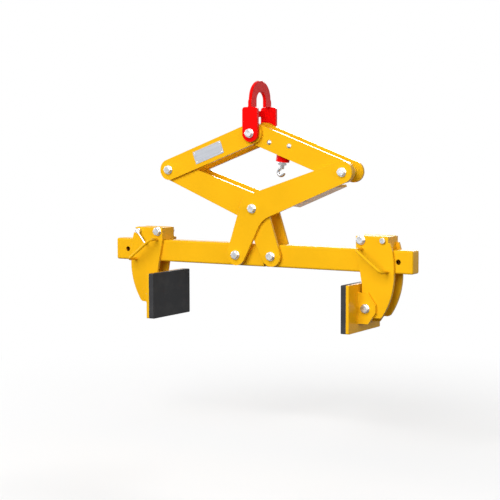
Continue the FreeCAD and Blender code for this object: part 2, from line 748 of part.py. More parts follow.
def build_beam():
    width = value("Dims.beam_width")
    height = value("Dims.beam_height")
    corner = value("Dims.beam_corner")
    wall = value("Dims.beam_wall")
    left_cap = "(Dims.left_reach - Dims.cap_thick)"
    right_cap = "(Dims.right_reach - Dims.cap_thick)"
    right_start = f"({PIN_X} - Dims.tube_margin)"
    left_end = f"({right_start} - Dims.closing_gap)"
    left_stop = "(-Dims.left_reach + Dims.stop_inset)"
    right_stop = "(Dims.right_reach - Dims.stop_inset)"
    reach = "Dims.beam_width"

    left = section(width, height, corner, wall, f"{left_cap} + {left_end}")
    place(left, f"-{left_cap}", "0", BEAM_Z)
    left_holes = (cross_hole(PIVOT_HOLE, f"-{PIN_X}", reach),
                  cross_hole("Dims.stop_dia / 2", left_stop, reach))
    finish(cut(left, *left_holes), "left_beam_tube")
    right = section(width, height, corner, wall, f"{right_cap} - {right_start}")
    place(right, right_start, "0", BEAM_Z)
    right_holes = (cross_hole(PIVOT_HOLE, PIN_X, reach), cross_hole("Dims.stop_dia / 2", right_stop, reach))
    finish(cut(right, *right_holes), "right_beam_tube")

    inside = 2 * (wall + value("Dims.guide_slack"))
    guide_wall = value("Dims.guide_wall")
    guide_length = "Dims.guide_left + Dims.guide_right"
    guide_body = section(width - inside, height - inside, guide_wall, guide_wall, guide_length)
    place(guide_body, "-Dims.guide_left", "0", BEAM_Z)
    slot_radius = "(Dims.bolt_dia / 2 + Dims.slot_clearance)"
    far = f"(-{PIN_X} - Dims.guide_open)"
    near = f"(-{PIN_X} + Dims.guide_shut)"
    slot = fuse(cross_hole(slot_radius, far, reach), cross_hole(slot_radius, near, reach),
                box(f"{near} - {far}", f"2 * {reach}", f"2 * {slot_radius}", far, f"-{reach}",
                    f"{BEAM_Z} - {slot_radius}"))
    finish(cut(guide_body, slot, cross_hole(PIVOT_HOLE, PIN_X, reach)), "guide_tube")

    finish(end_cap(-1, left_cap, width, height, corner, wall), "left_end_cap")
    finish(end_cap(1, right_cap, width, height, corner, wall), "right_end_cap")


def end_cap(side, tube_end, width, height, corner, wall):
    """Cap with a rounded rim and a plug that fits inside the tube."""
    rim = extrusion([rounded_rectangle(width, height, corner)], [], "Dims.cap_thick", "YZ_Plane")
    place(rim, tube_end if side > 0 else f"-{tube_end} - Dims.cap_thick", "0", BEAM_Z)
    outer_x = value("Dims.cap_thick") if side > 0 else 0.0

    def outer_edge(edge):
        return all(abs(v.Point.x - outer_x) < 1e-6 for v in edge.Vertexes)

    rounded(rim, "Dims.cap_round", outer_edge)
    slack = value("Dims.guide_slack")
    inner = rounded_rectangle(width - 2 * (wall + slack), height - 2 * (wall + slack), wall / 2)
    plug = extrusion([inner], [], "Dims.cap_plug", "YZ_Plane")
    place(plug, f"{tube_end} - Dims.cap_plug" if side > 0 else f"-{tube_end}", "0", BEAM_Z)
    return fuse(rim, plug)


# Jaws: the right one, and the left one turned half round the vertical

def jaw_outline():
    """Cheek plate of a jaw: across from the gripping face, and up from the beam's centre line."""
    half_beam = value(HALF_BEAM)
    top = value(HEAD_TOP)
    lead = value("Dims.jaw_lead")
    head_end = value("Dims.jaw_lead + Dims.head_length")
    notch = value(f"{HEAD_TOP} - Dims.notch_drop")
    step = value("Dims.jaw_lead + Dims.head_length + Dims.notch_step")
    back = value("Dims.jaw_back")
    back_z = -value("Dims.jaw_back_drop")
    foot = -value("Dims.pad_drop + Dims.jaw_foot")
    toe = value("Dims.jaw_toe")
    toe_z = foot + value("Dims.toe_rise")
    relief = value(f"{PAD_BACK} + Dims.jaw_relief")
    waist = value(f"{PAD_BACK} + Dims.jaw_waist")
    pad_top = value("-Dims.pad_drop + Dims.pad_height / 2")
    pivot = value(PAD_PIVOT_U)
    shoulder = (step + 0.8 * (back - step), (notch + back_z) / 2 + value("Dims.shoulder_lift"))
    belly = (toe + 0.76 * (back - toe), back_z + 0.56 * (toe_z - back_z))
    corner = (pivot - relief) / 2
    return [(lead, top), (head_end, top), (head_end, notch), (step, notch), arc(shoulder, (back, back_z)),
            arc(belly, (toe, toe_z)), (toe - value("Dims.toe_flat"), foot), (relief + corner, foot),
            (relief, foot + 2 * corner), (relief, pad_top - value("Dims.relief_drop")), (waist, -half_beam),
            (lead, half_beam)]


def build_jaw(name, side, grip):
    """One jaw, at its gripping distance. side is +1 on the right."""
    outline = jaw_outline()
    spots = [(HEAD_BOLT_U, HEAD_BOLT_Z, PIVOT_HOLE), (PAD_PIVOT_U, "(-Dims.pad_drop)", PIVOT_HOLE),
             (LOCK_PIN_U, HEAD_BOLT_Z, "(Dims.lock_pin_dia / 2 + Dims.pin_clearance)")]
    holes = [(side * value(u), value(z), radius) for u, z, radius in spots]

    def across(u):
        return f"{side} * ({grip} + {u})"

    def up(z):
        return f"{BEAM_Z} + {z}"

    plate = outline if side > 0 else mirrored(outline)
    front_and_rear(f"{name}_plate", plate, holes, JAW_LAYER, "Dims.jaw_thick", across("0"), BEAM_Z)

    low = f"({HALF_BEAM} + Dims.seat_clearance)"
    near = "Dims.jaw_lead" if side > 0 else "Dims.jaw_lead + Dims.head_length"
    through = f"2 * {JAW_LAYER}"
    block = box("Dims.head_length", through, f"{HEAD_TOP} - {low}", across(near), f"-{JAW_LAYER}", up(low))
    drills = [cylinder(radius, through, across(u), f"-{JAW_LAYER}", up(z))
              for u, z, radius in (spots[0], spots[2])]
    finish(cut(block, *drills), f"{name}_block")

    bar = cylinder("Dims.lower_bar_dia / 2", through, across(LOWER_BAR_U), f"-{JAW_LAYER}", up(LOWER_BAR_Z))
    sleeve = tube(across(PAD_PIVOT_U), up("(-Dims.pad_drop)"), f"-{JAW_LAYER}", JAW_LAYER)
    finish(group(bar, sleeve), f"{name}_spacers")

    fixings = [(across(HEAD_BOLT_U), up(HEAD_BOLT_Z), JAW_FACE),
               (across(PAD_PIVOT_U), up("(-Dims.pad_drop)"), EAR_FACE)]
    bolts(fixings, f"{name}_bolts")
    finish(group(*[nut(*spot) for spot in fixings]), f"{name}_nuts")
    finish(group(handle(side, grip, -1), handle(side, grip, 1)), f"{name}_handles")


def handle(side, grip, face):
    """Bent grab rod, welded to a cheek plate at both ends: local x is along the rod, local y off it."""
    length = math.hypot(value("Dims.handle_span"), value("Dims.handle_fall"))
    reach = value("Dims.handle_reach")
    bend = value("Dims.handle_bend")
    lean = bend * (1 - math.sqrt(0.5))
    path = [(0, 0), (0, reach - bend), arc((lean, reach - lean), (bend, reach)), (length - bend, reach),
            arc((length - lean, reach - lean), (length, reach - bend)), (length, 0)]
    body = add("PartDesign::Body", "Body")
    spine = new_sketch(body, "XY_Plane")
    edges = add_outline(spine, path, closed=False)
    ring = new_sketch(body, "XZ_Plane")
    add_hole(ring, 0, 0, "Dims.handle_dia / 2")
    pipe = body.newObject("PartDesign::AdditivePipe", f"Pipe{counter}")
    pipe.Profile = ring
    pipe.Spine = (spine, [f"Edge{number}" for number in range(1, edges + 1)])
    along = FreeCAD.Vector(side * value("Dims.handle_span"), 0, -value("Dims.handle_fall")).normalize()
    off = FreeCAD.Vector(0, face, 0)
    turn = FreeCAD.Rotation(along, off, along.cross(off), "XYZ")
    start = f"{side} * ({grip} + Dims.jaw_lead + Dims.handle_top_in)"
    return place(body, start, f"{face} * {JAW_FACE}", f"{BEAM_Z} + {HEAD_TOP} - Dims.handle_top_drop", turn)


def build_locking_pin(name, side, grip):
    """Pull-out pin through the jaw's head, with a rod welded to one end, the front one on the left jaw."""
    x = f"{side} * ({grip} + {LOCK_PIN_U})"
    z = f"{BEAM_Z} + {HEAD_BOLT_Z}"
    start = f"-{JAW_FACE} - Dims.lock_pin_tail" if side > 0 else f"-{JAW_FACE} - Dims.lock_pin_head"
    length = f"2 * {JAW_FACE} + Dims.lock_pin_tail + Dims.lock_pin_head"
    shaft = cylinder("Dims.lock_pin_dia / 2", length, x, start, z)
    middle = f"{side} * ({JAW_FACE} + Dims.lock_pin_head + Dims.pull_rod_dia / 2 - Dims.pull_rod_sink)"
    slope = FreeCAD.Rotation(FreeCAD.Vector(0, 1, 0), -side * (90 + value("Dims.pull_rod_slope")))
    direction = slope.multVec(FreeCAD.Vector(0, 0, 1))

    def along(distance):
        return (f"{x} + {distance} * {direction.x}", middle, f"{z} + {distance} * {direction.z}")

    rod_length = "Dims.pull_rod_back + Dims.pull_rod_reach"
    rod = cylinder("Dims.pull_rod_dia / 2", rod_length, *along("(-Dims.pull_rod_back)"), slope)
    ball = bind(add("Part::Sphere", "Ball"), Radius="Dims.pull_rod_ball / 2")
    finish(fuse(shaft, rod, place(ball, *along("Dims.pull_rod_reach"))), name)


# Pads

def build_pad(name, side, grip):
    def across(u):
        return f"{side} * ({grip} + {u})"

    def sheet_of(thickness, inner_face):
        corner = value("Dims.pad_corner")
        face = rounded_rectangle(value("Dims.pad_width"), value("Dims.pad_height"), corner)
        near = inner_face if side > 0 else f"{inner_face} + {thickness}"
        sheet = extrusion([face], [], thickness, "YZ_Plane")
        return place(sheet, across(near), "0", f"{BEAM_Z} - Dims.pad_drop")

    finish(sheet_of("Dims.rubber_thick", "0"), f"{name}_rubber")
    finish(sheet_of("Dims.pad_plate", "Dims.rubber_thick"), f"{name}_plate")

    half = value("Dims.ear_height / 2")
    nose = value("Dims.ear_nose / 2")
    top = value("Dims.ear_top")
    reach = value("Dims.ear_reach")
    ear = [(0, half), (top, half), (reach, nose), (reach, -nose), (top, -half), (0, -half)]
    ear = ear if side > 0 else mirrored(ear)
    hole = [(side * value("Dims.pad_pivot"), 0, PIVOT_HOLE)]
    ears = []
    for y in (f"-{EAR_LAYER}", f"{EAR_FACE}"):
        body = extrusion([ear], hole, "Dims.ear_thick")
        ears.append(place(body, across(PAD_BACK), y, f"{BEAM_Z} - Dims.pad_drop"))
    finish(group(*ears), f"{name}_ears")


def export():
    """Recompute, test every object and write one file for each sub-part."""
    doc.recompute()
    for item in doc.Objects:
        broken = {"Invalid", "Error"} & set(item.State)
        if broken:
            raise RuntimeError(f"{item.Name} ({item.Label}) failed: {item.State}")
    for piece in pieces:
        if piece.Shape.isNull() or not piece.Shape.isValid():
            raise RuntimeError(f"{piece.Label} has no valid shape")
    os.makedirs("parts", exist_ok=True)
    for piece in pieces:
        piece.Shape.exportStep(f"parts/{piece.Label}.step")
        print(f"{piece.Label}: {len(piece.Shape.Solids)} solid, {piece.Shape.Volume / 1000:.1f} cm3")


build_bail()
build_top_pivot()
build_upper_links()
build_data_plate()
build_latch()
build_levers()
build_rib()
build_catch_plate()
build_beam()
for jaw_side, jaw_name in ((-1, "left"), (1, "right")):
    jaw_grip = f"Dims.{jaw_name}_grip"
    build_jaw(f"{jaw_name}_jaw", jaw_side, jaw_grip)
    build_locking_pin(f"{jaw_name}_locking_pin", jaw_side, jaw_grip)
    build_pad(f"{jaw_name}_pad", jaw_side, jaw_grip)
export()
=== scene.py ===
"""Looks of the scissor lifting tongs.

Painted, plated, rubber and brushed finishes, weld beads, thread ends and rivets, and the stage around them.
"""

import json
import math

import bmesh
import bpy
from mathutils import Matrix, Vector


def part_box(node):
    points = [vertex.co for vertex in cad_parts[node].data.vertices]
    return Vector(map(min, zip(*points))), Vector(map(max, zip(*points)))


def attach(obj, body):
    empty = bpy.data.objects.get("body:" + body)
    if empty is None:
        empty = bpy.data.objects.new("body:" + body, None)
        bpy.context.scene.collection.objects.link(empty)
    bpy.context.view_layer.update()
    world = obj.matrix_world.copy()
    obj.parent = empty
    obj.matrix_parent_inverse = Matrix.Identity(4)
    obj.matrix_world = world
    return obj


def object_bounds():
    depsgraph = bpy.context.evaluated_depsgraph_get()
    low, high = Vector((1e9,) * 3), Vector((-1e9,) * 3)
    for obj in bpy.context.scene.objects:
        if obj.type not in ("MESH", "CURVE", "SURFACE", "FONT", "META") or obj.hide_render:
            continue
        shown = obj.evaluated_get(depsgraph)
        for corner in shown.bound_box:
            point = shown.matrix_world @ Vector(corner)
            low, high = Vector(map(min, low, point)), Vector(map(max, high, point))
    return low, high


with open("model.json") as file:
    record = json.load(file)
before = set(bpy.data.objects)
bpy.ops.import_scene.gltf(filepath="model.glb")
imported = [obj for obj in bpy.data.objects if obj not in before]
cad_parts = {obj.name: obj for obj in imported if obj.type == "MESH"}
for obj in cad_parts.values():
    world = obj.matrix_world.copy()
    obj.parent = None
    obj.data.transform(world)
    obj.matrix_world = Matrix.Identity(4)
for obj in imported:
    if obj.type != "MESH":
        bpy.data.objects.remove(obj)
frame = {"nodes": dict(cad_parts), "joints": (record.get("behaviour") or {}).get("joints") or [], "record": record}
cad_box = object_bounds()

MM = 0.001
RIGHT = Vector((1, 0, 0))
BACK = Vector((0, 1, 0))
UP = Vector((0, 0, 1))
SIDES = ("left", "right")
NEAR_ENOUGH = 0.05 * MM
SAME_POINT = 0.01 * MM

# Colours, linear
YELLOW = (0.87, 0.455, 0.009)
YELLOW_RUBBED = (0.92, 0.56, 0.06)
RED = (0.85, 0.004, 0.004)
RED_RUBBED = (1.0, 0.07, 0.06)
ZINC = (0.7, 0.71, 0.73)
CHROME = (0.5, 0.51, 0.53)
RUBBER = (0.024, 0.0245, 0.027)
RUBBER_DUST = (0.075, 0.073, 0.07)
LABEL = (0.46, 0.48, 0.52)
WHITE = (1.0, 1.0, 1.0, 1.0)

# Sockets of a mix node: its two colours and its resulting colour
MIX_COLOURS = (6, 7)
MIX_RESULT = 2

# All finishes: the usual span of a noise, bump, and the turn (as a cosine) where an edge begins and is full
NOISE_SPAN = (0.3, 0.7)
BUMP_STRENGTH = 0.3
EDGE_SAMPLES = 6
EDGE_SPAN = (0.995, 0.8)

# Paint: a noise has a scale to the metre and a detail, tones are shares of the colour
PAINT_GLOSS = 0.2
PAINT_EDGE = 1.2 * MM
PAINT_DRIFT = (6.0, 4.0)
PAINT_TONES = (0.95, 1.03)
PAINT_SPECKS = (130.0, 3.0)
PAINT_SPECK_SPAN = (0.42, 0.68)
PAINT_WEAR = (0.1, 0.75)
PAINT_SHEEN = (35.0, 4.0)
PAINT_ROUGH = (0.2, 0.3)
PAINT_PEEL = (650.0, 1.0)
PAINT_PEEL_DEPTH = 0.05 * MM

# Plating
PLATE_EDGE = 0.7 * MM
PLATE_PATCHES = (90.0, 4.0)
PLATE_PATCH_SPAN = (0.35, 0.65)
PLATE_TONES = (0.86, 1.04)
PLATE_EDGE_TONE = 1.12
PLATE_PITS = (1400.0, 2.0)
PLATE_PIT_DEPTH = 0.03 * MM
ZINC_ROUGH = (0.2, 0.34)
CHROME_ROUGH = (0.06, 0.14)

# Rubber
RUBBER_GLOSS = 0.35
RUBBER_EDGE = 1.5 * MM
RUBBER_PATCHES = (22.0, 5.0)
RUBBER_PATCH_SPAN = (0.45, 0.8)
RUBBER_DUSTED = (0.2, 0.6)
RUBBER_GRAIN = (900.0, 3.0)
RUBBER_GRAIN_DEPTH = 0.12 * MM
RUBBER_GRAIN_STRENGTH = 0.5
RUBBER_ROUGH = (0.62, 0.85)

# Brushed label plate: the noise is stretched to the length and width of a brush mark
BRUSH_METAL = 0.3
BRUSH_EDGE = 0.5 * MM
BRUSH_LENGTH = 70 * MM
BRUSH_WIDTH = 0.9 * MM
BRUSH_STREAKS = (1.0, 3.0)
BRUSH_TONES = (0.9, 1.08)
BRUSH_EDGE_TONE = 1.2
BRUSH_ROUGH = (0.34, 0.5)
BRUSH_DEPTH = 0.02 * MM

# Weld beads
BEAD_RADIUS = 2.6 * MM
BEAD_PITCH = 2.4 * MM
BEAD_STEP = 0.6 * MM
BEAD_RIPPLE = 0.1
BEAD_END = 0.35
BEAD_SINK = 1.3 * MM
BAR_SIDES = 10
RING_STEPS = 72
ROD_RADIUS = 5 * MM
LOWER_ARC = (math.radians(200), math.radians(340))

# Threads: body, diameter and pitch of the bolts of each node, and where a thread starts and ends from the tip
BOLTS = {
    "top_bolt": ("left_link", 16 * MM, 2.0 * MM),
    "left_corner_bolt": ("left_link", 16 * MM, 2.0 * MM),
    "latch_bolts": ("right_link", 10 * MM, 1.5 * MM),
    "lever_a_bolts": ("lever_a", 16 * MM, 2.0 * MM),
    "right_pin_bolt": ("lever_b", 16 * MM, 2.0 * MM),
    "left_jaw_bolts": ("left_jaw", 16 * MM, 2.0 * MM),
    "right_jaw_bolts": ("right_jaw", 16 * MM, 2.0 * MM),
}
SHORTEST_BOLT = 40 * MM
THREAD_START = 4.6 * MM
THREAD_END = 1.7 * MM
THREAD_RADIUS = 0.45 * MM
THREAD_STEPS = 48

# Rivets of the label plate: the dome ends in a small flat top
RIVET_RADIUS = 2.4 * MM
RIVET_RISE = 1.0 * MM
RIVET_INSET = 5.5 * MM
RIVET_TOP = math.radians(85)
RIVET_RINGS = 6
RIVET_STEPS = 24

# Camera: its place and angles come from the straight edges of the photograph
CAMERA_PLACE = Vector((2392.2, -3997.6, -138.4)) * MM
CAMERA_YAW = math.radians(31.31)
CAMERA_PITCH = math.radians(-4.76)
CAMERA_ROLL = math.radians(-0.13)
FOCAL_PIXELS = 1393.8
PICTURE_PIXELS = 500
SENSOR_WIDTH = 36.0

# Stage: the floor's white share grows from near to far
FLOOR_DROP = 0.42
FLOOR_SIZE = 30.0
FLOOR_ROUGH = 0.9
FLOOR_GREY = 0.08
FLOOR_SEEN = 0.85
FLOOR_MIRRORED = 0.75
FLOOR_SPAN = (0.6, 2.2)
FLOOR_WHITE = (0.2, 1.0)
WORLD_LIGHT = 0.06

# Lights: place and size in metres, power in watts
AIM = Vector((0, 0, -0.4))
LIGHTS = {
    "key": ((0.2, -7.0, 3.3), 6.5, 805),
    "fill": ((3.4, -1.6, 0.4), 2.4, 40),
    "left": ((-3.8, -0.6, 0.6), 2.4, 45),
    "back": ((-2.0, 6.6, 3.0), 3.6, 440),
    "rim": ((2.6, 3.0, 0.5), 2.4, 12),
}


# Node helpers
def add_node(tree, kind, inputs=None, **settings):
    """A new shader node with its settings, and its inputs set or linked."""
    made = tree.nodes.new(kind)
    for name, setting in settings.items():
        setattr(made, name, setting)
    for name, given in (inputs or {}).items():
        if isinstance(given, bpy.types.NodeSocket):
            tree.links.new(given, made.inputs[name])
        else:
            made.inputs[name].default_value = given
    return made


def new_finish(name, **constants):
    """A material, its node tree, its shader with constant values set, and the object's own coordinates."""
    finish = bpy.data.materials.new(name)
    finish.use_nodes = True
    tree = finish.node_tree
    shader = tree.nodes["Principled BSDF"]
    for socket, constant in constants.items():
        shader.inputs[socket.replace("_", " ")].default_value = constant
    place = add_node(tree, "ShaderNodeTexCoord").outputs["Object"]
    return finish, tree, shader, place


def noise(tree, place, scale, detail):
    inputs = {"Vector": place, "Scale": scale, "Detail": detail}
    return add_node(tree, "ShaderNodeTexNoise", inputs).outputs["Fac"]


def spread(tree, factor, low, high, start=0.0, end=1.0):
    """Factor between low and high, spread over start to end."""
    inputs = {"Value": factor, "From Min": low, "From Max": high, "To Min": start, "To Max": end}
    return add_node(tree, "ShaderNodeMapRange", inputs).outputs["Result"]


def maths(tree, operation, first, second):
    return add_node(tree, "ShaderNodeMath", {0: first, 1: second}, operation=operation).outputs[0]


def mixed(tree, factor, first, second):
    """Colour between first and second."""
    made = add_node(tree, "ShaderNodeMix", {"Factor": factor}, data_type="RGBA")
    for socket, given in zip(MIX_COLOURS, (first, second)):
        if isinstance(given, bpy.types.NodeSocket):
            tree.links.new(given, made.inputs[socket])
        else:
            made.inputs[socket].default_value = (*given, 1.0)
    return made.outputs[MIX_RESULT]


def shade(colour, share):
    return tuple(min(1.0, part * share) for part in colour)


def toned(tree, factor, span, colour, tones):
    """Colour that goes from a darker to a brighter tone while the factor runs over a span."""
    darker, brighter = (shade(colour, share) for share in tones)
    return mixed(tree, spread(tree, factor, *span), darker, brighter)


def soft_edge(tree, radius):
    """The normal with edges rounded to a radius, and a mask that is 1 along those edges."""
    rounded = add_node(tree, "ShaderNodeBevel", {"Radius": radius}, samples=EDGE_SAMPLES).outputs["Normal"]
    flat = add_node(tree, "ShaderNodeNewGeometry").outputs["Normal"]
    inputs = {0: rounded, 1: flat}
    along = add_node(tree, "ShaderNodeVectorMath", inputs, operation="DOT_PRODUCT").outputs["Value"]
    return rounded, spread(tree, along, *EDGE_SPAN)


def bump(tree, height, distance, normal, strength=BUMP_STRENGTH):
    inputs = {"Height": height, "Distance": distance, "Strength": strength, "Normal": normal}
    return add_node(tree, "ShaderNodeBump", inputs).outputs["Normal"]


def connect(tree, shader, **sources):
    for socket, source in sources.items():
        tree.links.new(source, shader.inputs[socket.replace("_", " ")])


def eye_ray(tree, mirrored=1.0):
    """1 for the camera's view, a share in shiny surfaces, 0 for light that falls on the object."""
    seen = add_node(tree, "ShaderNodeLightPath").outputs
    shiny = maths(tree, "MAXIMUM", seen["Is Glossy Ray"], seen["Is Transmission Ray"])
    return maths(tree, "MAXIMUM", seen["Is Camera Ray"], maths(tree, "MULTIPLY", shiny, mirrored))


# Finishes
def paint(name, colour, rubbed):
    """Gloss powder coat: slight drift of the tone, orange peel, and rubbed edges where the coat is thin."""
    finish, tree, shader, place = new_finish(
        name, Base_Color=(*colour, 1.0), Specular_Tint=(*colour, 1.0), Specular_IOR_Level=PAINT_GLOSS)
    drift = noise(tree, place, *PAINT_DRIFT)
    specks = noise(tree, place, *PAINT_SPECKS)
    peel = noise(tree, place, *PAINT_PEEL)
    sheen = noise(tree, place, *PAINT_SHEEN)
    rounded, edge = soft_edge(tree, PAINT_EDGE)
    worn = maths(tree, "MULTIPLY", edge, spread(tree, specks, *PAINT_SPECK_SPAN, *PAINT_WEAR))
    tone = toned(tree, drift, NOISE_SPAN, colour, PAINT_TONES)
    connect(tree, shader, Base_Color=mixed(tree, worn, tone, rubbed),
            Roughness=spread(tree, sheen, *NOISE_SPAN, *PAINT_ROUGH),
            Normal=bump(tree, peel, PAINT_PEEL_DEPTH, rounded))
    return finish


def plated(name, colour, roughness):
    """Plated steel: fine pitting, uneven gloss, slightly darker patches and brighter edges."""
    finish, tree, shader, place = new_finish(name, Base_Color=(*colour, 1.0), Metallic=1.0)
    patches = noise(tree, place, *PLATE_PATCHES)
    pits = noise(tree, place, *PLATE_PITS)
    rounded, edge = soft_edge(tree, PLATE_EDGE)
    tone = toned(tree, patches, PLATE_PATCH_SPAN, colour, PLATE_TONES)
    polish = maths(tree, "MULTIPLY", edge, patches)
    connect(tree, shader, Base_Color=mixed(tree, polish, tone, shade(colour, PLATE_EDGE_TONE)),
            Roughness=spread(tree, patches, *NOISE_SPAN, *roughness),
            Normal=bump(tree, pits, PLATE_PIT_DEPTH, rounded))
    return finish


def rubber(name, colour, dust):
    """Matt rubber: moulded grain, and stone dust on the edges and in patches."""
    finish, tree, shader, place = new_finish(name, Base_Color=(*colour, 1.0), Specular_IOR_Level=RUBBER_GLOSS)
    patches = noise(tree, place, *RUBBER_PATCHES)
    grain = noise(tree, place, *RUBBER_GRAIN)
    rounded, edge = soft_edge(tree, RUBBER_EDGE)
    settled = spread(tree, grain, *NOISE_SPAN, *RUBBER_DUSTED)
    dusty = maths(tree, "MULTIPLY", spread(tree, patches, *RUBBER_PATCH_SPAN), settled)
    edge_dust = maths(tree, "MULTIPLY", edge, patches)
    connect(tree, shader, Base_Color=mixed(tree, edge_dust, mixed(tree, dusty, colour, dust), dust),
            Roughness=spread(tree, grain, *NOISE_SPAN, *RUBBER_ROUGH),
            Normal=bump(tree, grain, RUBBER_GRAIN_DEPTH, rounded, RUBBER_GRAIN_STRENGTH))
    return finish


def brushed(name, colour, direction):
    """Bare plate with brush marks along a direction in the plane of the links."""
    finish, tree, shader, place = new_finish(name, Base_Color=(*colour, 1.0), Metallic=BRUSH_METAL)
    turn = (0.0, math.atan2(-direction.z, direction.x), 0.0)
    inputs = {"Vector": place, "Rotation": turn, "Scale": (BRUSH_LENGTH, BRUSH_WIDTH, BRUSH_WIDTH)}
    along = add_node(tree, "ShaderNodeMapping", inputs, vector_type="TEXTURE").outputs["Vector"]
    streaks = noise(tree, along, *BRUSH_STREAKS)
    rounded, edge = soft_edge(tree, BRUSH_EDGE)
    tone = toned(tree, streaks, NOISE_SPAN, colour, BRUSH_TONES)
    connect(tree, shader, Base_Color=mixed(tree, edge, tone, shade(colour, BRUSH_EDGE_TONE)),
            Roughness=spread(tree, streaks, *NOISE_SPAN, *BRUSH_ROUGH),
            Normal=bump(tree, streaks, BRUSH_DEPTH, rounded))
    return finish


# Places read from the frame
def joint_place(name):
    joint = next(j for j in frame["joints"] if j["name"] == name)
    return Vector(joint["pos_m"])


def points(node):
    return [vert.co.copy() for vert in frame["nodes"][node].data.vertices]


def reach(node, axis):
    """Lowest and highest place of a node along an axis."""
    places = [point.dot(axis) for point in points(node)]
    return min(places), max(places)


def halves(node, depth):
    """A node's points at a depth, split at their middle into a left and a right half."""
    edge = [p for p in points(node) if abs(p.y - depth) < NEAR_ENOUGH]
    middle = (min(p.x for p in edge) + max(p.x for p in edge)) / 2
    return [p for p in edge if p.x < middle], [p for p in edge if p.x >= middle]


def plate_edge(node, depth, pick=max):
    """Both ends of a plate's upper edge at a depth, or of its lower edge."""
    return [pick(half, key=lambda p: p.z) for half in halves(node, depth)]


def box_of(group):
    """Lowest and highest corner of the box around points."""
    low = Vector([min(p[i] for p in group) for i in range(3)])
    high = Vector([max(p[i] for p in group) for i in range(3)])
    return low, high


def middle_of(group):
    low, high = box_of(group)
    return (low + high) / 2


def solids(node):
    """Lowest and highest corner of each separate solid of a node."""
    mesh = bmesh.new()
    mesh.from_mesh(frame["nodes"][node].data)
    bmesh.ops.remove_doubles(mesh, verts=mesh.verts, dist=SAME_POINT)
    waiting = set(mesh.verts)
    boxes = []
    while waiting:
        island, border = [], [waiting.pop()]
        while border:
            vert = border.pop()
            island.append(vert.co.copy())
            for other in (edge.other_vert(vert) for edge in vert.link_edges):
                if other in waiting:
                    waiting.remove(other)
                    border.append(other)
        boxes.append(box_of(island))
    mesh.free()
    return sorted(boxes, key=lambda corners: tuple(corners[0]))


# Mesh pieces
def new_piece(name, mesh, slot, body):
    """A finished mesh as an object that rides on a body."""
    bmesh.ops.recalc_face_normals(mesh, faces=mesh.faces)
    data = bpy.data.meshes.new(name)
    mesh.to_mesh(data)
    mesh.free()
    data.shade_smooth()
    data.materials.append(finishes[slot])
    piece = bpy.data.objects.new(name, data)
    bpy.context.scene.collection.objects.link(piece)
    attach(piece, body)


def add_rings(mesh, rings, closed=False):
    """Skin rings of points into a bar, closed on itself or capped at both ends."""
    made = [[mesh.verts.new(point) for point in ring] for ring in rings]
    pairs = list(zip(made, made[1:] + made[:1])) if closed else list(zip(made, made[1:]))
    for first, second in pairs:
        for i in range(len(first)):
            j = (i + 1) % len(first)
            mesh.faces.new((first[i], first[j], second[j], second[i]))
    if not closed:
        mesh.faces.new(made[0])
        mesh.faces.new(made[-1])


def add_bar(mesh, path, normals, sizes, closed=False):
    """Round bar along a path, with a size at each point and a normal that keeps it from twisting."""
    count = len(path)
    angles = [2 * math.pi * k / BAR_SIDES for k in range(BAR_SIDES)]
    rings = []
    for i, point in enumerate(path):
        before = path[i - 1] if i or closed else point
        after = path[(i + 1) % count] if i + 1 < count or closed else point
        over = normals[i]
        side = (after - before).cross(over).normalized()
        rings.append([point + sizes[i] * (math.cos(a) * side + math.sin(a) * over) for a in angles])
    add_rings(mesh, rings, closed)


def add_bead(mesh, path, normal, closed=False):
    """Rippled weld bead along a path that lies across a normal."""
    runs = [0.0]
    for before, after in zip(path, path[1:]):
        runs.append(runs[-1] + (after - before).length)
    sizes = []
    for run in runs:
        ripple = 1 + BEAD_RIPPLE * abs(math.sin(math.pi * run / BEAD_PITCH))
        taper = min(1.0, BEAD_END + min(run, runs[-1] - run) / BEAD_RADIUS)
        sizes.append(BEAD_RADIUS * ripple * (1.0 if closed else taper))
    add_bar(mesh, path, [normal] * len(path), sizes, closed)


def straight(*corners):
    """Evenly spaced points along straight runs between corners."""
    path = []
    for start, end in zip(corners, corners[1:]):
        steps = max(2, round((end - start).length / BEAD_STEP))
        path += [start.lerp(end, i / steps) for i in range(steps)]
    return path + [corners[-1]]


def around(centre, radius, start=0.0, end=2 * math.pi):
    """Points of a circle or an arc in a plane of constant depth."""
    turns = [start + (end - start) * i / RING_STEPS for i in range(RING_STEPS + 1)]
    return [centre + radius * (math.cos(a) * RIGHT + math.sin(a) * UP) for a in turns]


def weld(name, body, slot, *seams):
    """One piece of several beads.

    A seam is a path, the normal that it lies across, and whether it is closed.
    """
    mesh = bmesh.new()
    for path, normal, closed in seams:
        add_bead(mesh, path, normal, closed)
    new_piece(name, mesh, slot, body)


# Welds
def weld_bail():
    """Cross bar to the cheek plates, and crown ring to the tops of the plates."""
    bar_low, bar_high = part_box("bail_cross_bar")
    ring_low, ring_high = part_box("bail_ring")
    left, right = bar_low[0] + BEAD_RADIUS, bar_high[0]
    bottom, top = bar_low[2], bar_high[2]
    corners = [(left, bottom), (right, bottom), (right, top), (left, top)]
    seams = []
    for face in ("front", "rear"):
        low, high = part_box(f"bail_plate_{face}")
        inner, outer = (high[1], low[1]) if face == "front" else (low[1], high[1])
        seams.append((straight(*[Vector((x, inner, z)) for x, z in corners]), BACK, False))
        for x in (ring_low[0], ring_high[0]):
            ends = [Vector((x, inner, high[2])), Vector((x, outer, high[2]))]
            seams.append((straight(*ends), UP, False))
    weld("bail_welds", "bail", "red_paint", *seams)


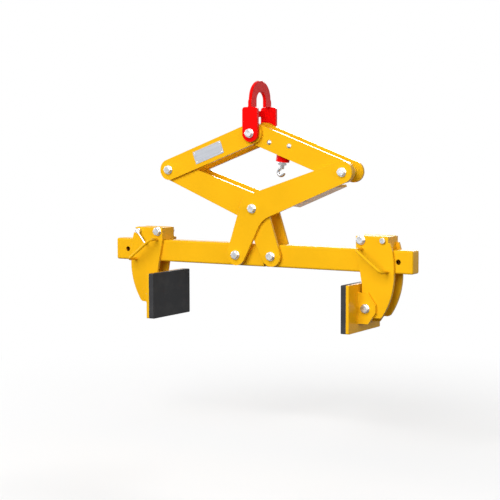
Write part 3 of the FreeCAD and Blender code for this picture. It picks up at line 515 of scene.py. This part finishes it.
def weld_links():
    """Tie plate to the right link, and rib and catch plate to lever A."""
    ties = [(straight(*plate_edge("link_tie", depth)), BACK, False) for depth in reach("link_tie", BACK)]
    weld("right_link_welds", "right_link", "yellow_paint", *ties)
    seams = []
    for node, picks in (("lever_a_rib", (max,)), ("latch_catch_plate", (max, min))):
        front = reach(node, BACK)[0]
        seams += [(straight(*plate_edge(node, front, pick)), BACK, False) for pick in picks]
    weld("lever_a_welds", "lever_a", "yellow_paint", *seams)


def weld_jaw(side):
    """Head block, handle rods and lower bar to the cheek plates of a jaw."""
    low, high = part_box(f"{side}_jaw_block")
    top = high[2] - BEAD_SINK
    seams = []
    for depth in (low[1], high[1]):
        seams.append((straight(Vector((low[0], depth, top)), Vector((high[0], depth, top))), BACK, False))
    plate_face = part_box(f"{side}_jaw_plate_rear")[1][1]
    for depth in (-plate_face, plate_face):
        for foot in halves(f"{side}_jaw_handles", depth):
            seams.append((around(middle_of(foot), ROD_RADIUS)[:-1], BACK, True))
    bar_low, bar_high = max(solids(f"{side}_jaw_spacers"), key=lambda box: box[1].z)
    for depth in (bar_low.y, bar_high.y):
        centre = (bar_low + bar_high) / 2
        centre.y = depth
        seams.append((around(centre, (bar_high.x - bar_low.x) / 2, *LOWER_ARC), BACK, False))
    weld(f"{side}_jaw_welds", f"{side}_jaw", "yellow_paint", *seams)


def weld_pad(side):
    """Pivot ears to the back plate of a pad, on their outer side and their ends."""
    low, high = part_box(f"{side}_pad_plate")
    back = high[0] if side == "right" else low[0]
    foot = [p for p in points(f"{side}_pad_ears") if abs(p.x - back) < NEAR_ENOUGH]
    bottom, top = min(p.z for p in foot), max(p.z for p in foot)
    near, far = min(abs(p.y) for p in foot), max(abs(p.y) for p in foot)
    corners = [(near, bottom), (far, bottom), (far, top), (near, top)]
    seams = []
    for sign in (-1, 1):
        seams.append((straight(*[Vector((back, sign * y, z)) for y, z in corners]), RIGHT, False))
    weld(f"{side}_pad_welds", f"{side}_pad", "yellow_paint", *seams)


# Threads and rivets
def thread(foot, radius, pitch, length):
    """Points of a thread that winds back from the foot of its axis, and the outward normal at each."""
    path, normals = [], []
    for i in range(THREAD_STEPS + 1):
        run = length * i / THREAD_STEPS
        turn = 2 * math.pi * run / pitch
        outward = math.cos(turn) * RIGHT + math.sin(turn) * UP
        normals.append(outward)
        path.append(foot + radius * outward + run * BACK)
    return path, normals


def thread_bolts():
    """A thread on each bolt end that stands out of its nut.

    The shorter solids of a node are washers or nuts.
    """
    for node, (body, diameter, pitch) in BOLTS.items():
        mesh = bmesh.new()
        for low, high in solids(node):
            if high.y - low.y < SHORTEST_BOLT:
                continue
            foot = Vector(((low.x + high.x) / 2, high.y - THREAD_START, (low.z + high.z) / 2))
            path, normals = thread(foot, diameter / 2, pitch, THREAD_START - THREAD_END)
            add_bar(mesh, path, normals, [THREAD_RADIUS] * len(path))
        new_piece(f"{node}_thread", mesh, "zinc_steel", body)


def dome(centre, along, over):
    """Rings of a rivet's head from its rim to its top, which faces front."""
    turns = [2 * math.pi * i / RIVET_STEPS for i in range(RIVET_STEPS)]
    rings = []
    for k in range(RIVET_RINGS):
        lift = RIVET_TOP * k / (RIVET_RINGS - 1)
        middle = centre - RIVET_RISE * math.sin(lift) * BACK
        radius = RIVET_RADIUS * math.cos(lift)
        rings.append([middle + radius * (math.cos(a) * along + math.sin(a) * over) for a in turns])
    return rings


def rivet_label(along):
    """Domed rivets in the corners of the label plate."""
    over = along.cross(BACK)
    starts, heights = reach("data_plate", along), reach("data_plate", over)
    front = reach("data_plate", BACK)[0]
    mesh = bmesh.new()
    for start, inward in zip(starts, (RIVET_INSET, -RIVET_INSET)):
        for height, down in zip(heights, (RIVET_INSET, -RIVET_INSET)):
            centre = (start + inward) * along + (height + down) * over + front * BACK
            add_rings(mesh, dome(centre, along, over))
    new_piece("label_rivets", mesh, "zinc_steel", "left_link")


# Dressing, stage, light and camera
link_direction = (joint_place("left_corner") - joint_place("swing")).normalized()
finishes = {
    "yellow_paint": paint("yellow_paint_coat", YELLOW, YELLOW_RUBBED),
    "red_paint": paint("red_paint_coat", RED, RED_RUBBED),
    "zinc_steel": plated("bright_zinc", ZINC, ZINC_ROUGH),
    "hook_chrome": plated("hook_chrome_plate", CHROME, CHROME_ROUGH),
    "pad_rubber": rubber("moulded_rubber", RUBBER, RUBBER_DUST),
    "label_metal": brushed("brushed_label", LABEL, link_direction),
}


def dress_nodes():
    """Give every node of the frame the finish of its slot."""
    for part in frame["record"]["subparts"]:
        data = frame["nodes"][part["node"]].data
        data.materials.clear()
        data.materials.append(finishes[part["material_slot"]])


def floor_finish():
    """Dark floor to the light on the object, and pale to the eye, with a glow that whitens it far away."""
    finish, tree, shader, place = new_finish("pale_floor", Roughness=FLOOR_ROUGH, Specular_IOR_Level=0.0)
    connect(tree, shader, Base_Color=mixed(tree, eye_ray(tree, 0.0), [FLOOR_GREY] * 3, [FLOOR_SEEN] * 3))
    away = add_node(tree, "ShaderNodeVectorMath", {0: place}, operation="LENGTH").outputs["Value"]
    seen = eye_ray(tree, FLOOR_MIRRORED)
    white = maths(tree, "MULTIPLY", seen, spread(tree, away, *FLOOR_SPAN, *FLOOR_WHITE))
    glow = add_node(tree, "ShaderNodeEmission", {"Color": WHITE, "Strength": 1.0})
    blend = add_node(tree, "ShaderNodeMixShader", {0: white, 1: shader.outputs[0], 2: glow.outputs[0]})
    tree.links.new(blend.outputs[0], tree.nodes["Material Output"].inputs["Surface"])
    return finish


def build_stage():
    """Floor under the hanging tongs, which keeps their shadow."""
    mesh = bmesh.new()
    bmesh.ops.create_grid(mesh, x_segments=1, y_segments=1, size=FLOOR_SIZE)
    data = bpy.data.meshes.new("floor")
    mesh.to_mesh(data)
    mesh.free()
    data.materials.append(floor_finish())
    floor = bpy.data.objects.new("floor", data)
    floor.location = (0, 0, cad_box[0][2] - FLOOR_DROP)
    bpy.context.scene.collection.objects.link(floor)


def build_world():
    """A world that is white to the eye and to metal, and lights the object softly."""
    world = bpy.data.worlds.new("studio")
    bpy.context.scene.world = world
    world.use_nodes = True
    tree = world.node_tree
    background = tree.nodes["Background"]
    background.inputs["Color"].default_value = WHITE
    tree.links.new(spread(tree, eye_ray(tree), 0.0, 1.0, WORLD_LIGHT, 1.0), background.inputs["Strength"])


def build_lights():
    for name, (place, size, power) in LIGHTS.items():
        lamp = bpy.data.lights.new(name, "AREA")
        lamp.shape = "SQUARE"
        lamp.size = size
        lamp.energy = power
        light = bpy.data.objects.new(name, lamp)
        light.location = place
        light.rotation_euler = (AIM - Vector(place)).to_track_quat("-Z", "Y").to_euler()
        light.visible_camera = False
        bpy.context.scene.collection.objects.link(light)


def build_camera():
    """Camera at the photograph's place, turned by yaw, pitch and roll."""
    level = math.cos(CAMERA_PITCH)
    forward = Vector((-math.sin(CAMERA_YAW) * level, math.cos(CAMERA_YAW) * level, math.sin(CAMERA_PITCH)))
    across = Vector((math.cos(CAMERA_YAW), math.sin(CAMERA_YAW), 0))
    turned = Matrix((across, across.cross(forward), -forward)).transposed().to_4x4()
    data = bpy.data.cameras.new("camera")
    data.sensor_width = SENSOR_WIDTH
    data.lens = FOCAL_PIXELS / PICTURE_PIXELS * SENSOR_WIDTH
    camera = bpy.data.objects.new("camera", data)
    camera.matrix_world = Matrix.Translation(CAMERA_PLACE) @ turned @ Matrix.Rotation(CAMERA_ROLL, 4, "Z")
    bpy.context.scene.collection.objects.link(camera)
    bpy.context.scene.camera = camera


dress_nodes()
weld_bail()
weld_links()
for jaw_side in SIDES:
    weld_jaw(jaw_side)
    weld_pad(jaw_side)
thread_bolts()
rivet_label(link_direction)
build_stage()
build_world()
build_lights()
build_camera()
bpy.context.scene.view_settings.view_transform = "Standard"
